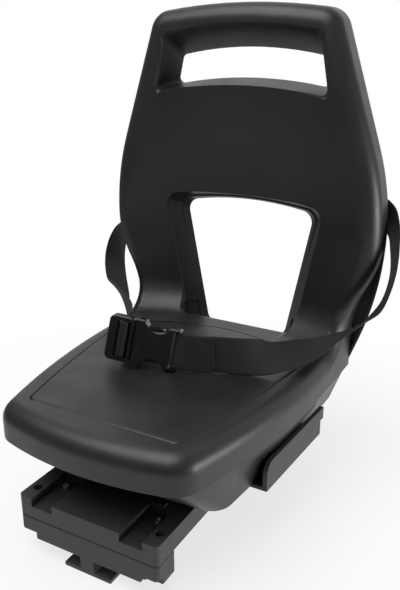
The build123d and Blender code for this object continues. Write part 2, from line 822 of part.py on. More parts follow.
def latch_spring():
    """Leaf spring: flat against the roof of the latch, then bent down to rest on the lever's tab."""
    front = plate_length - latch_depth + plate_rib + fit_gap
    roof = plate_bottom - latch_roof
    bend = front + spring_flat
    tab_top = pivot_z + lever_thick / 2 + fit_gap
    lower = Polyline((front, roof - spring_thick), (bend, roof - spring_thick), (plate_length, tab_top))
    upper = Polyline((plate_length, tab_top + spring_thick), (bend, roof), (front, roof))
    side = make_face([lower, Line(lower @ 1, upper @ 0), upper, Line(upper @ 1, lower @ 0)])
    return extrude(Plane.YZ * side, amount=spring_width / 2, both=True)


# Fasteners

def screw(length, head):
    """Screw that points along -Z with the underside of its head at the origin."""
    shank = Pos(0, 0, -length / 2) * rod(screw_diameter, length)
    cap = Pos(0, 0, screw_head_height / 2) * rod(head, screw_head_height)
    hollow = Pos(0, 0, screw_head_height / 2) * RegularPolygon(screw_diameter / 2, 6)
    socket = extrude(hollow, amount=screw_head_height)
    return shank + cap - socket


def pair(shape, x, y, z, turn=Rot()):
    """The shape at a place on the right of the seat, and its mirror image on the left."""
    right = Pos(x, y, z) * turn * shape
    return [right, mirror(right, about=Plane.YZ)]


def back_screws():
    seat = back_rear - back_head_depth
    one = screw(seat - back_parting + screw_grip - fit_gap, screw_head)
    solids = []
    for x, z in BACK_SCREWS:
        solids += pair(one, x, seat, z, Rot(X=-90))
    return Compound(children=solids)


def pan_screws():
    one = screw(head_depth + screw_grip - fit_gap, screw_head)
    solids = []
    for x, y in PAN_SCREWS:
        solids += pair(one, x, y, lip_level - head_depth, Rot(X=180))
    return Compound(children=solids)


def hook_screws():
    floor = plate_top - recess_depth
    one = screw(floor - plate_bottom + hook_flange_thick, screw_head)
    return Compound(children=pair(one, hook_screw_x, hook_screw_y, floor))


def latch_screws():
    seat = plate_top - head_depth
    one = screw(seat - plate_bottom + screw_grip - fit_gap, screw_head)
    return Compound(children=pair(one, latch_screw_x, plate_length - latch_depth / 2, seat))


def hexagon(across_flats, height):
    return extrude(RegularPolygon(across_flats / 2, 6, major_radius=False), amount=height)


def cradle_bolts():
    """Hexagon bolts from under the plate's skin up into the tub."""
    length = plate_skin + cradle_floor + shell_wall + washer_thick + nut_height + bolt_end
    one = Pos(0, 0, -bolt_head_height) * hexagon(bolt_head, bolt_head_height)
    one += Pos(0, 0, length / 2) * rod(bolt_diameter, length)
    solids = []
    for x, y in CRADLE_BOLTS:
        solids += pair(one, x, y, plate_top - plate_skin)
    return Compound(children=solids)


def cradle_washers():
    ring = rod(washer_diameter, washer_thick) - rod(bolt_hole, 2 * washer_thick)
    one = Pos(0, 0, washer_thick / 2) * ring
    solids = []
    for x, y in CRADLE_BOLTS:
        solids += pair(one, x, y, tub_bottom + shell_wall)
    return Compound(children=solids)


def cradle_nuts():
    one = hexagon(bolt_head, nut_height) - rod(bolt_diameter + 2 * running_gap, 4 * nut_height)
    solids = []
    for x, y in CRADLE_BOLTS:
        solids += pair(one, x, y, tub_bottom + shell_wall + washer_thick)
    return Compound(children=solids)


# Buckle

def buckle_plane():
    """Local x runs from the strap bar to the tongue, local y is the width, local z points to the rear."""
    run = buckle_run.normalized()
    upward = (Vector(0, 0, 1) - run * run.Z).normalized()
    rearward = run.cross(upward)
    lean = radians(buckle_lean)
    normal = rearward * cos(lean) - upward * sin(lean)
    return Plane(origin=on_seat(*BUCKLE_PLACE), x_dir=run, z_dir=normal)


def slab(outline, thick):
    return extrude(outline, amount=thick / 2, both=True)


def strip(x0, x1, half):
    """Rectangle on the buckle's middle line."""
    return Pos((x0 + x1) / 2, 0) * Rectangle(x1 - x0, 2 * half)


def ease_front(body):
    """Bevel the edge of the face that looks forward."""
    return chamfer(body.faces().sort_by(Axis.Z)[0].outer_wire().edges(), buckle_edge)


def buckle_body():
    half = buckle_width / 2
    finger_middle = (finger_start + finger_end) / 2
    finger_reach = (finger_end - finger_start) / 2
    outline = strip(0, finger_middle, buckle_bar_width / 2)
    outline += strip(finger_middle, buckle_body_length, half)
    for side in (-half, half):
        outline -= Pos(finger_middle, side) * Ellipse(finger_reach, finger_depth)
    body = ease_front(slab(fillet(outline.vertices(), buckle_corner), buckle_thick))
    room = prong_thick + 2 * fit_gap
    body -= slab(strip(finger_start + buckle_wall, buckle_body_length + 1, prong_outer + fit_gap), room)
    slot_half = belt_width / 2 + fit_gap
    body -= slab(strip(-overshoot, bar_width + strap_slot_width, slot_half), 2 * buckle_thick)
    body += slab(strip(0, bar_width, slot_half + TINY), bar_thick)
    bump = Ellipse(bump_length / 2, bump_width / 2)
    bump = Pos(buckle_body_length - bump_back, 0, -buckle_thick / 2) * bump
    return buckle_plane() * (body + slab(bump, 2 * bump_height))


def buckle_tongue():
    base = strip(buckle_body_length + fit_gap, buckle_length, (buckle_width - 2 * tongue_step) / 2)
    tongue = ease_front(slab(fillet(base.vertices(), tongue_corner), buckle_thick - tongue_step))
    first = buckle_body_length + ladder_bar
    for start in (first, first + strap_slot_width + ladder_bar):
        tongue -= slab(strip(start, start + strap_slot_width, belt_width / 2 + fit_gap), 2 * buckle_thick)
    root = buckle_body_length + ladder_bar / 2
    tongue += slab(strip(buckle_body_length - guide_length, root, guide_half), prong_thick)
    prong = strip(buckle_body_length - prong_length, root, prong_width / 2)
    prong = fillet(prong.vertices().sort_by(Axis.X)[:2], prong_tip)
    prong = slab(Pos(0, prong_outer - prong_width / 2) * prong, prong_thick)
    return buckle_plane() * (tongue + prong + mirror(prong, about=Plane.XZ))


# Belt

def eased(values, i, t):
    """Point a share t of the way from value i to the next, on a smooth curve through all the values."""
    last = len(values) - 1
    before, here, ahead, beyond = (values[min(max(i + k, 0), last)] for k in (-1, 0, 1, 2))
    linear = (ahead - before) * t
    square = (before * 2 - here * 5 + ahead * 4 - beyond) * t**2
    cubic = (here * 3 - before - ahead * 3 + beyond) * t**3
    return here + (linear + square + cubic) * 0.5


def strap_corners(centre, run, across_strap):
    """The four corners of the strap's section, in order round it."""
    side = (across_strap - run * (across_strap.dot(run) / run.dot(run))).normalized()
    normal = run.cross(side).normalized()
    corners = []
    for u, v in ((-1, -1), (1, -1), (1, 1), (-1, 1)):
        corners.append(centre + side * (u * belt_width / 2) + normal * (v * belt_thick / 2))
    return corners


def webbing(stations):
    """Strap through stations, each a centre and the direction across the strap there, in flat facets."""
    centres = [centre for centre, _ in stations]
    sides = [side for _, side in stations]
    steps = [(i, k / BELT_STEPS) for i in range(len(stations) - 1) for k in range(BELT_STEPS)]
    steps.append((len(stations) - 2, 1))
    points = [eased(centres, i, t) for i, t in steps]
    runs = [after - before for before, after in zip(points, points[2:])]
    runs = [centres[1] - centres[0], *runs, centres[-1] - centres[-2]]
    rings = []
    for point, run, (i, t) in zip(points, runs, steps):
        rings.append(strap_corners(point, run, eased(sides, i, t)))
    faces = []
    for ring, after in zip(rings, rings[1:]):
        for k in range(4):
            a, b = ring[k], ring[(k + 1) % 4]
            c, d = after[(k + 1) % 4], after[k]
            faces.append(Face(Wire.make_polygon([a, b, c])))
            faces.append(Face(Wire.make_polygon([a, c, d])))
    faces.append(Face(Wire.make_polygon(rings[0][::-1])))
    faces.append(Face(Wire.make_polygon(rings[-1])))
    strap = Solid(Shell(faces))
    return strap - both_sides(peg(anchor_x, anchor_level, back_rear, back_rear + overshoot, screw_hole))


def on_seat(across, along, up):
    """Place given as shares of the seat's sizes."""
    return Vector(across * back_half, along * back_rear, rim_level + up * back_height)


def anchored(side):
    """First two stations of a strap, flat on the back under its anchor. The side is 1 or -1."""
    slope = radians(anchor_tilt)
    flat = Vector(-sin(slope), 0, -side * cos(slope))
    stations = []
    for run in (-strap_tail, strap_lead):
        x = side * (anchor_x + run * cos(slope))
        stations.append((Vector(x, belt_y, anchor_level - run * sin(slope)), flat))
    return stations


def belt_strap_right():
    """From its anchor round the side of the back, half a twist, and along the pad to the buckle's bar."""
    buckle = buckle_plane()
    stations = anchored(1)
    stations += [(on_seat(*place), side) for *place, side in RIGHT_COURSE]
    stations.append((on_seat(*RIGHT_RUN_IN), buckle.y_dir))
    stations.append((buckle.from_local_coords(Vector(-strap_run_in, 0, 0)), buckle.y_dir))
    stations.append((buckle.from_local_coords(Vector(-fit_gap, 0, 0)), buckle.y_dir))
    return webbing(stations)


def belt_strap_left():
    """From its anchor round the side of the back, a twist, and from behind to the tongue's ladder."""
    buckle = buckle_plane()
    slot = buckle_body_length + 2 * ladder_bar + strap_slot_width * 1.5
    tongue_rear = (buckle_thick - tongue_step) / 2
    stations = anchored(-1)
    stations += [(on_seat(*place), side) for *place, side in LEFT_COURSE]
    stations.append((on_seat(*LEFT_RUN_IN), -buckle.y_dir))
    stations.append((buckle.from_local_coords(Vector(slot, 0, strap_stand_off)), -buckle.y_dir))
    stations.append((buckle.from_local_coords(Vector(slot, 0, tongue_rear + fit_gap)), -buckle.y_dir))
    return webbing(stations)


def strap_anchors():
    """Rounded plates that clamp the belt's ends to the back."""
    outline = fillet(Rectangle(anchor_length, anchor_width).vertices(), anchor_corner)
    outline = Pos(anchor_x, anchor_level) * Rot(Z=-anchor_tilt) * outline
    seat = belt_y + belt_thick / 2 + fit_gap
    plate = extrude(upright(seat) * outline, amount=anchor_thick, dir=REARWARD)
    plate -= peg(anchor_x, anchor_level, back_rear, back_rear + overshoot, screw_hole)
    return Compound(children=[plate, mirror(plate, about=Plane.YZ)])


def anchor_screws():
    seat = belt_y + belt_thick / 2 + fit_gap + anchor_thick
    one = screw(seat - back_rear + anchor_grip - fit_gap, screw_head + 2)
    return Compound(children=pair(one, anchor_x, seat, anchor_level, Rot(X=-90)))


NODES = [
    front_shell,
    rear_shell,
    seat_pad,
    seat_cradle,
    adapter_plate,
    hook_block,
    latch_block,
    latch_lever,
    latch_pin,
    latch_spring,
    back_screws,
    pan_screws,
    hook_screws,
    latch_screws,
    cradle_bolts,
    cradle_washers,
    cradle_nuts,
    buckle_body,
    buckle_tongue,
    belt_strap_right,
    belt_strap_left,
    strap_anchors,
    anchor_screws,
]

os.makedirs("parts", exist_ok=True)
for node in NODES:
    export_step(node(), f"parts/{node.__name__}.step")
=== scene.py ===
# %% [markdown]
# # Child bike seat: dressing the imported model
#
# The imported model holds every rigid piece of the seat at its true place, in metres. This script keeps
# those pieces where they are, gives each one the plastic, steel or webbing that it is made of, and
# models the soft pieces (the pad and the lap belt) as what they really are.

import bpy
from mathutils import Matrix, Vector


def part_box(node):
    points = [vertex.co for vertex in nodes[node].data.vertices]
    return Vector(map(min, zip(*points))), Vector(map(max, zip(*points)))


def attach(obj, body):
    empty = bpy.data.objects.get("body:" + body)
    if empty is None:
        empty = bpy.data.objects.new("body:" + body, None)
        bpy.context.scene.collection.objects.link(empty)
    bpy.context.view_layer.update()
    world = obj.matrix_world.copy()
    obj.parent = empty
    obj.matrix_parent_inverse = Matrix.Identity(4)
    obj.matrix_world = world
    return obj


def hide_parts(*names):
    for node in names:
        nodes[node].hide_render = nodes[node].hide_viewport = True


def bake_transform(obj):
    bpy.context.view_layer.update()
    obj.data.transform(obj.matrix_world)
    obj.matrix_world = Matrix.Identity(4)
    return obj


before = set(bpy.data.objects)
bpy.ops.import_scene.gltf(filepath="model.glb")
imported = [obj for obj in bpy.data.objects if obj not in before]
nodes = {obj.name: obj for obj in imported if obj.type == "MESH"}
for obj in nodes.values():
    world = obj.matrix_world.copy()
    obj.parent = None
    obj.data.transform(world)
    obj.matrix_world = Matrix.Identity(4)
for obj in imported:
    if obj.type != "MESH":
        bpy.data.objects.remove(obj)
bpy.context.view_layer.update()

# %% [markdown]
# ## The camera first
#
# The photograph looks down on the seat from its front right, from close by, so near parts look large.
# The lens and the place of the camera were found by laying the model over the photograph. With the
# camera fixed first, every later step can be compared with the photograph at once.

# %% Camera at the photograph's angle
import math

import bpy
from mathutils import Vector

scene = bpy.context.scene
camera = bpy.data.objects.new("photo_camera", bpy.data.cameras.new("photo_camera"))
scene.collection.objects.link(camera)
camera.location = (0.3556, -0.4138, 0.4731)
camera.rotation_euler = (math.radians(70.29), 0, math.radians(29.4))
camera.data.sensor_width = 36
camera.data.lens = 42.67
scene.camera = camera
print("camera at", tuple(round(x, 3) for x in camera.location), "lens", camera.data.lens, "mm")

# %% [markdown]
# ## Small tools for materials
#
# Colours are picked as sRGB hex values, as a paint chart gives them, but shader sockets hold linear
# light, so one function converts them. Every shader node is added by one other function, which takes
# the node's own settings and what goes into its sockets. The rest are the few patterns that all the
# materials share, sized in millimetres.

# %% Colour, node and scale helpers
MM = 0.001


def linear(hex_colour):
    """Linear RGBA of an sRGB hex colour."""
    channels = [int(hex_colour[i:i + 2], 16) / 255 for i in (1, 3, 5)]
    return [c / 12.92 if c <= 0.04045 else ((c + 0.055) / 1.055) ** 2.4 for c in channels] + [1.0]


def add(tree, kind, settings=None, sockets=None):
    """Add one node. A socket, named by its identifier, takes a value, an output or a node."""
    made = tree.nodes.new(kind)
    for name, value in (settings or {}).items():
        setattr(made, name, value)
    for socket in made.inputs:
        value = (sockets or {}).get(socket.identifier)
        if isinstance(value, bpy.types.Node):
            value = next(output for output in value.outputs if output.enabled)
        if isinstance(value, bpy.types.NodeSocket):
            tree.links.new(value, socket)
        elif value is not None:
            socket.default_value = value
    return made


def per_metre(millimetres):
    """Texture scale for a pattern whose grains are this many millimetres wide."""
    return 1000 / millimetres


def new_material(name):
    """Empty material, its node tree, and the place on the piece in metres."""
    material = bpy.data.materials.new(name)
    material.use_nodes = True
    material.node_tree.nodes.clear()
    place = add(material.node_tree, "ShaderNodeTexCoord").outputs["Object"]
    return material, material.node_tree, place


print("#3a3a3c in linear light:", [round(x, 4) for x in linear("#3a3a3c")])

# %% Patterns that the materials share
NOISE_LOW, NOISE_HIGH = 0.3, 0.7


def noise(tree, place, millimetres, detail):
    """Noise whose clouds are this many millimetres wide."""
    return add(tree, "ShaderNodeTexNoise", None, {
        "Vector": place, "Scale": per_metre(millimetres), "Detail": detail})


def between_colours(tree, share, dark, light):
    """Colour between two, by a share from 0 to 1."""
    return add(tree, "ShaderNodeMix", {"data_type": "RGBA"}, {
        "Factor_Float": share, "A_Color": linear(dark), "B_Color": linear(light)})


def between_gloss(tree, cloud, smooth, rough):
    """Roughness between two, by a noise, which lies mostly from NOISE_LOW to NOISE_HIGH."""
    return add(tree, "ShaderNodeMapRange", None, {
        "Value": cloud, "From Min": NOISE_LOW, "From Max": NOISE_HIGH, "To Min": smooth, "To Max": rough})


def relief(tree, height, strength, millimetres, invert=False):
    """Bump this many millimetres deep."""
    return add(tree, "ShaderNodeBump", {"invert": invert}, {
        "Height": height, "Strength": strength, "Distance": millimetres * MM})


def larger(tree, first, second):
    """The larger of two values."""
    return add(tree, "ShaderNodeMath", {"operation": "MAXIMUM"}, {"Value": first, "Value_001": second})


def surface(tree, sockets):
    """Surface with these sockets, joined to the material's output."""
    shader = add(tree, "ShaderNodeBsdfPrincipled", None, sockets)
    add(tree, "ShaderNodeOutputMaterial", None, {"Surface": shader})


print("noise is spread from", NOISE_LOW, "to", NOISE_HIGH)

# %% [markdown]
# ## Shell plastic: moulded polyethylene
#
# The two shells are polyethylene, moulded in a tool whose walls were spark-eroded. That leaves a fine
# even grain which spreads every highlight into a soft band. The grain is about 0.3 mm on the real
# seat, too fine for this picture, so it is drawn 0.9 mm wide. A much larger, faint mottle comes from
# the melt as it cooled, and changes the gloss more than the colour.

# %% Shell plastic
shell_plastic, tree, place = new_material("moulded_polyethylene")
mottle = noise(tree, place, 45, 3.0)
grain = noise(tree, place, 0.9, 2.0)
surface(tree, {
    "Base Color": between_colours(tree, mottle, "#1d1d1e", "#232324"),
    "Roughness": between_gloss(tree, mottle, 0.38, 0.48),
    "Normal": relief(tree, grain, 0.22, 0.4),
    "IOR": 1.51,
})
print("made", shell_plastic.name)

# %% [markdown]
# ## Adapter plastic: glass-filled nylon
#
# The cradle, plate, hook and latch carry the whole load, so they are nylon with chopped glass in it.
# The fibres lie near the surface and make it a greyer, duller and slightly cloudy black. A real fibre
# is far too fine to see, so the clouds are drawn 6 mm wide and the grain 0.8 mm.

# %% Adapter plastic, and the black plastic of the lever and the anchors
def filled_nylon(name, dark, light):
    """Cloudy, dull nylon between two colours."""
    material, tree, place = new_material(name)
    cloud = noise(tree, place, 6, 4.0)
    grain = noise(tree, place, 0.8, 1.0)
    surface(tree, {
        "Base Color": between_colours(tree, cloud, dark, light),
        "Roughness": between_gloss(tree, cloud, 0.52, 0.66),
        "Normal": relief(tree, grain, 0.2, 0.3),
        "IOR": 1.53,
    })
    return material


adapter_plastic = filled_nylon("glass_filled_nylon", "#2c2c2c", "#383736")
lever_plastic = filled_nylon("black_nylon", "#161617", "#1c1c1d")
print("made", adapter_plastic.name, lever_plastic.name)

# %% [markdown]
# ## Buckle plastic: acetal
#
# Side-release buckles are moulded in acetal, a hard, slippery plastic. It comes out of a polished tool,
# so it is the glossiest part of the seat: edges show thin bright lines, and faint flow marks wave them.

# %% Buckle plastic
buckle_plastic, tree, place = new_material("moulded_acetal")
flow = noise(tree, place, 9, 2.0)
surface(tree, {
    "Base Color": between_colours(tree, flow, "#0b0b0c", "#111112"),
    "Roughness": between_gloss(tree, flow, 0.24, 0.36),
    "Normal": relief(tree, flow, 0.1, 0.6),
    "IOR": 1.48,
})
print("made", buckle_plastic.name)

# %% [markdown]
# ## Screws: zinc-plated steel, and the spring: plain steel
#
# The screws, bolts, washers and nuts are plated with zinc, a thin bright coat with a soft, slightly
# cloudy shine. The latch's spring and pin are plain steel, which is darker and duller.

# %% Steel
def cloudy_steel(name, dark, light, smooth, rough, cloud_mm):
    """Bare or plated steel whose colour and gloss change in clouds."""
    material, tree, place = new_material(name)
    cloud = noise(tree, place, cloud_mm, 3.0)
    surface(tree, {
        "Base Color": between_colours(tree, cloud, dark, light),
        "Roughness": between_gloss(tree, cloud, smooth, rough),
        "Metallic": 1.0,
    })
    return material


zinc = cloudy_steel("zinc_plated_steel", "#b9bbbe", "#d4d5d7", 0.22, 0.34, 1.5)
steel = cloudy_steel("drawn_steel", "#8d8e91", "#a4a5a8", 0.3, 0.45, 2.5)
print("made", zinc.name, steel.name)

# %% [markdown]
# ## Dressing the rigid pieces
#
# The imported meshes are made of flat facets. Smooth shading alone would smear light over the large flat
# faces, so each piece gets four modifiers: Weld joins split corners, Decimate merges facets that lie
# in one plane, Bevel rounds the sharp edges as moulding does, and Weighted Normal lets the big faces
# keep their own direction.

# %% Give every rigid piece its plastic or steel
CORNERS_WITHIN = 0.01 * MM
FLAT_WITHIN, SHARP_OVER = math.radians(0.5), math.radians(40)


def dress(name, material, edge_mm):
    """Material, smooth shading and edges rounded by edge_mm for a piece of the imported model."""
    piece = nodes[name]
    piece.data.materials.clear()
    piece.data.materials.append(material)
    piece.data.polygons.foreach_set("use_smooth", [True] * len(piece.data.polygons))
    weld = piece.modifiers.new("join_corners", "WELD")
    weld.merge_threshold = CORNERS_WITHIN
    flat = piece.modifiers.new("merge_flat_facets", "DECIMATE")
    flat.decimate_type = "DISSOLVE"
    flat.angle_limit = FLAT_WITHIN
    bevel = piece.modifiers.new("moulded_edges", "BEVEL")
    bevel.width = edge_mm * MM
    bevel.segments = 2
    bevel.limit_method = "ANGLE"
    bevel.angle_limit = SHARP_OVER
    bevel.use_clamp_overlap = True
    normals = piece.modifiers.new("flat_faces_stay_flat", "WEIGHTED_NORMAL")
    normals.keep_sharp = False


dressed = {
    "front_shell": (shell_plastic, 1.0),
    "rear_shell": (shell_plastic, 1.0),
    "seat_cradle": (adapter_plastic, 0.6),
    "adapter_plate": (adapter_plastic, 0.6),
    "hook_block": (adapter_plastic, 0.6),
    "latch_block": (adapter_plastic, 0.6),
    "latch_lever": (lever_plastic, 0.5),
    "buckle_body": (buckle_plastic, 0.35),
    "buckle_tongue": (buckle_plastic, 0.35),
    "latch_pin": (steel, 0.3),
    "hook_screws": (zinc, 0.3),
    "latch_screws": (zinc, 0.3),
    "back_screws": (zinc, 0.3),
    "pan_screws": (zinc, 0.3),
    "anchor_screws": (zinc, 0.3),
    "cradle_bolts": (zinc, 0.3),
    "cradle_washers": (zinc, 0.2),
    "cradle_nuts": (zinc, 0.3),
    "strap_anchors": (lever_plastic, 0.4),
}
for name, (material, edge_mm) in dressed.items():
    dress(name, material, edge_mm)
print("dressed", len(dressed), "rigid pieces")

# %% [markdown]
# ## Floor and light
#
# The light follows what the photograph looks like: a white backdrop behind the seat, a large soft lamp
# above it and a weaker one low at its right; the rest of the room is dim. Black plastic shows what it
# faces: its rounded edges mirror the lamps and the backdrop, and its front mirrors the dim room, which
# keeps it black.
# The floor is a sheet of white paper. To the camera, and in mirrors and glass, it fades to plain
# white, so that its edge doesn't show, but it keeps the shadow. The camera sees white all round, and
# a mirror sees the white backdrop where it stands, behind the seat.

# %% Paper floor
import bmesh


def new_piece(name, mesh_maker):
    """Object made from a bmesh that mesh_maker fills."""
    mesh = bpy.data.meshes.new(name)
    shape = bmesh.new()
    mesh_maker(shape)
    shape.to_mesh(mesh)
    shape.free()
    piece = bpy.data.objects.new(name, mesh)
    scene.collection.objects.link(piece)
    return piece


FLOOR_RADIUS = 0.62
FADE_FROM, FADE_TO, SHADOW_KEPT = 0.2, 0.6, 0.26


def fill_floor(shape):
    """Round sheet of paper."""
    bmesh.ops.create_circle(shape, cap_ends=True, segments=96, radius=FLOOR_RADIUS)


floor = new_piece("floor", fill_floor)
floor.location = (0, 0.15, 0)
floor_paper, tree, place = new_material("white_paper")
paper = add(tree, "ShaderNodeBsdfPrincipled", None, {"Base Color": linear("#f6f6f6"), "Roughness": 0.9})
distance = add(tree, "ShaderNodeVectorMath", {"operation": "LENGTH"}, {"Vector": place})
fade = add(tree, "ShaderNodeMapRange", {"interpolation_type": "SMOOTHSTEP"}, {
    "Value": distance.outputs["Value"], "From Min": FADE_FROM, "From Max": FADE_TO,
    "To Min": 1 - SHADOW_KEPT, "To Max": 1.0})
ray = add(tree, "ShaderNodeLightPath")
mirrored = larger(tree, ray.outputs["Is Glossy Ray"], ray.outputs["Is Transmission Ray"])
seen = larger(tree, ray.outputs["Is Camera Ray"], mirrored)
shown = add(tree, "ShaderNodeMath", {"operation": "MULTIPLY"}, {"Value": seen, "Value_001": fade})
white = add(tree, "ShaderNodeEmission", None, {"Color": linear("#ffffff"), "Strength": 1.0})
mixed = add(tree, "ShaderNodeMixShader", None, {"Fac": shown, "Shader": paper, "Shader_001": white})
add(tree, "ShaderNodeOutputMaterial", None, {"Surface": mixed})
floor.data.materials.append(floor_paper)
print("paper floor is", round(floor.dimensions.x, 2), "m across")

# %% White backdrop, dim room and two soft lamps
TO_BACKDROP = (-0.1, 0.95, 0.3)
BACKDROP_EDGE, BACKDROP_FULL = 0.45, 0.85
world = bpy.data.worlds.new("backdrop_and_room")
scene.world = world
world.use_nodes = True
tree = world.node_tree
tree.nodes.clear()
direction = add(tree, "ShaderNodeTexCoord").outputs["Generated"]
behind = add(tree, "ShaderNodeVectorMath", {"operation": "DOT_PRODUCT"}, {
    "Vector": direction, "Vector_001": TO_BACKDROP})
backdrop = add(tree, "ShaderNodeMapRange", {"interpolation_type": "SMOOTHSTEP"}, {
    "Value": behind.outputs["Value"], "From Min": BACKDROP_EDGE, "From Max": BACKDROP_FULL})
ray = add(tree, "ShaderNodeLightPath")
seen = larger(tree, ray.outputs["Is Camera Ray"], ray.outputs["Is Transmission Ray"])
colour = between_colours(tree, larger(tree, backdrop, seen), "#737373", "#ffffff")
room = add(tree, "ShaderNodeBackground", None, {"Color": colour, "Strength": 1.0})
add(tree, "ShaderNodeOutputWorld", None, {"Surface": room})


def soft_lamp(name, place, target, size, watts):
    """Rectangular lamp at a place, turned to its target."""
    lamp = bpy.data.objects.new(name, bpy.data.lights.new(name, "AREA"))
    lamp.data.shape = "RECTANGLE"
    lamp.data.size, lamp.data.size_y = size
    lamp.data.energy = watts
    lamp.location = place
    lamp.rotation_euler = (Vector(target) - Vector(place)).to_track_quat("-Z", "Y").to_euler()
    scene.collection.objects.link(lamp)


soft_lamp("top_lamp", place=(-0.25, -0.35, 1.5), target=(0, 0.15, 0.2), size=(1.4, 1.3), watts=21)
soft_lamp("right_lamp", place=(1.4, 0.4, 0.15), target=(0, 0.25, 0.1), size=(0.5, 0.4), watts=11)
scene.view_settings.view_transform = "Standard"

# %% [markdown]
# ## The latch's spring
#
# The leaf spring lies flat against the roof of the latch and its leg rests on the lever. When the lever
# turns, the leg bends with it, which a rigid piece can't do. So the leaf is drawn here with many short
# faces along its leg, from its bend to its tip.

# %% Leaf spring with many short faces along its leg
leaf_low, leaf_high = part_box("latch_spring")
LEAF_THICK, LEAF_FLAT, LEG_STEPS = 0.8 * MM, 14 * MM, 16
bend = Vector((0, leaf_low.y + LEAF_FLAT, leaf_high.z - LEAF_THICK))
tip = Vector((0, leaf_high.y, leaf_low.z))


def fill_leaf(shape):
    """Strip of four-sided rings: its flat, then its leg in short steps."""
    under = [Vector((0, leaf_low.y, bend.z))]
    under += [bend.lerp(tip, k / LEG_STEPS) for k in range(LEG_STEPS + 1)]
    rows = []
    for p in under:
        sides = ((leaf_low.x, 0), (leaf_high.x, 0), (leaf_high.x, LEAF_THICK), (leaf_low.x, LEAF_THICK))
        rows.append([shape.verts.new((x, p.y, p.z + lift)) for x, lift in sides])
    for here, after in zip(rows, rows[1:]):
        for k in range(4):
            shape.faces.new([here[k], here[(k + 1) % 4], after[(k + 1) % 4], after[k]])
    shape.faces.new(rows[0][::-1])
    shape.faces.new(rows[-1])
    bmesh.ops.recalc_face_normals(shape, faces=shape.faces)


leaf = new_piece("leaf_spring", fill_leaf)
leaf.data.materials.append(steel)
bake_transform(leaf)
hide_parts("latch_spring")
leg_mm = (tip - bend).length / MM
print("leaf spring has", len(leaf.data.polygons), "faces, its leg is", round(leg_mm, 1), "mm long")

# %% [markdown]
# ## Pad skin: imitation leather
#
# The pad is foam with a skin of PVC that was embossed while warm. The embossing is a fine pebble, about
# 1 mm on the real skin and drawn 2 mm wide so that it shows. Handling leaves soft patches where the
# gloss changes.

# %% Pad skin
pad_skin, tree, place = new_material("embossed_pvc_leather")
patches = noise(tree, place, 38, 3.0)
pebble = add(tree, "ShaderNodeTexVoronoi", {"feature": "SMOOTH_F1"}, {
    "Vector": place, "Scale": per_metre(2.0)})
surface(tree, {
    "Base Color": between_colours(tree, patches, "#171718", "#1f1f20"),
    "Roughness": between_gloss(tree, patches, 0.38, 0.5),
    "Normal": relief(tree, pebble, 0.14, 0.3, invert=True),
    "IOR": 1.52,
})
print("made", pad_skin.name)

# %% [markdown]
# ## The seat pad
#
# The pad is let into the pan and fills its pocket. A plain slab would look hard, so its top is a grid
# of small faces stretched between the four sides of its outline, its edge is rolled over, and
# Blender's cloth solver blows the top up a little, as foam does under a stretched skin.

# %% Outline of the pad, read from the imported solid
pad_low, pad_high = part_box("seat_pad")
PAD_ROLL, PAD_CROWN, PAD_HALF = 2 * MM, 1.6 * MM, 100 * MM
RISE_WITHIN, RIM_STEPS, TINY = 20 * MM, 240, 0.001 * MM
ROLL_TURNS = (22.5, 45, 67.5, 90)
middle = Vector((0, (pad_low.y + pad_high.y) / 2))
rim = {(round(v.co.x, 5), round(v.co.y, 5)) for v in nodes["seat_pad"].data.vertices}
rim = [Vector(p) for p in sorted(rim, key=lambda p: math.atan2(p[0] - middle.x, middle.y - p[1]))]
print("outline of the pad has", len(rim), "points")

# %% Four sides of the outline
def walk(points, count):
    """Points at equal steps along a chain of points."""
    lengths = [0.0]
    for here, ahead in zip(points, points[1:]):
        lengths.append(lengths[-1] + (ahead - here).length)
    walked, i = [], 0
    for k in range(count + 1):
        goal = lengths[-1] * k / count
        while i < len(points) - 2 and lengths[i + 1] < goal:
            i += 1
        share = (goal - lengths[i]) / (lengths[i + 1] - lengths[i])
        walked.append(points[i].lerp(points[i + 1], share))
    return walked


SIDEWAYS = 1.5


def corner_index(x_sign, y_sign):
    """Place in the outline of the corner that reaches furthest that way, mostly sideways."""
    return max(range(len(rim)), key=lambda i: rim[i].x * x_sign * SIDEWAYS + rim[i].y * y_sign)


def side_of(first, last, count):
    """Side of the outline between two corners, going round to the seat's right."""
    count_points = (last - first) % len(rim)
    chain = [rim[(first + k) % len(rim)] for k in range(count_points + 1)]
    return walk(chain, count)


ACROSS, ALONG = 48, 56
corners = [corner_index(-1, -1), corner_index(1, -1), corner_index(1, 1), corner_index(-1, 1)]
nose = side_of(corners[0], corners[1], ACROSS)
right = side_of(corners[1], corners[2], ALONG)
tail = side_of(corners[2], corners[3], ACROSS)[::-1]
left = side_of(corners[3], corners[0], ALONG)[::-1]
print("corners of the pad:", [tuple(round(c, 3) for c in side[0]) for side in (nose, right, tail, left)])

# %% Skin of the pad: a grid between the four sides, a rolled edge and a flat underside
def pad_point(i, j):
    """Point of the grid, from the two pairs of sides that face each other."""
    u, v = i / ACROSS, j / ALONG
    between_ends = nose[i].lerp(tail[i], v)
    between_sides = left[j].lerp(right[j], u)
    flat = nose[0].lerp(nose[-1], u).lerp(tail[0].lerp(tail[-1], u), v)
    return between_ends + between_sides - flat


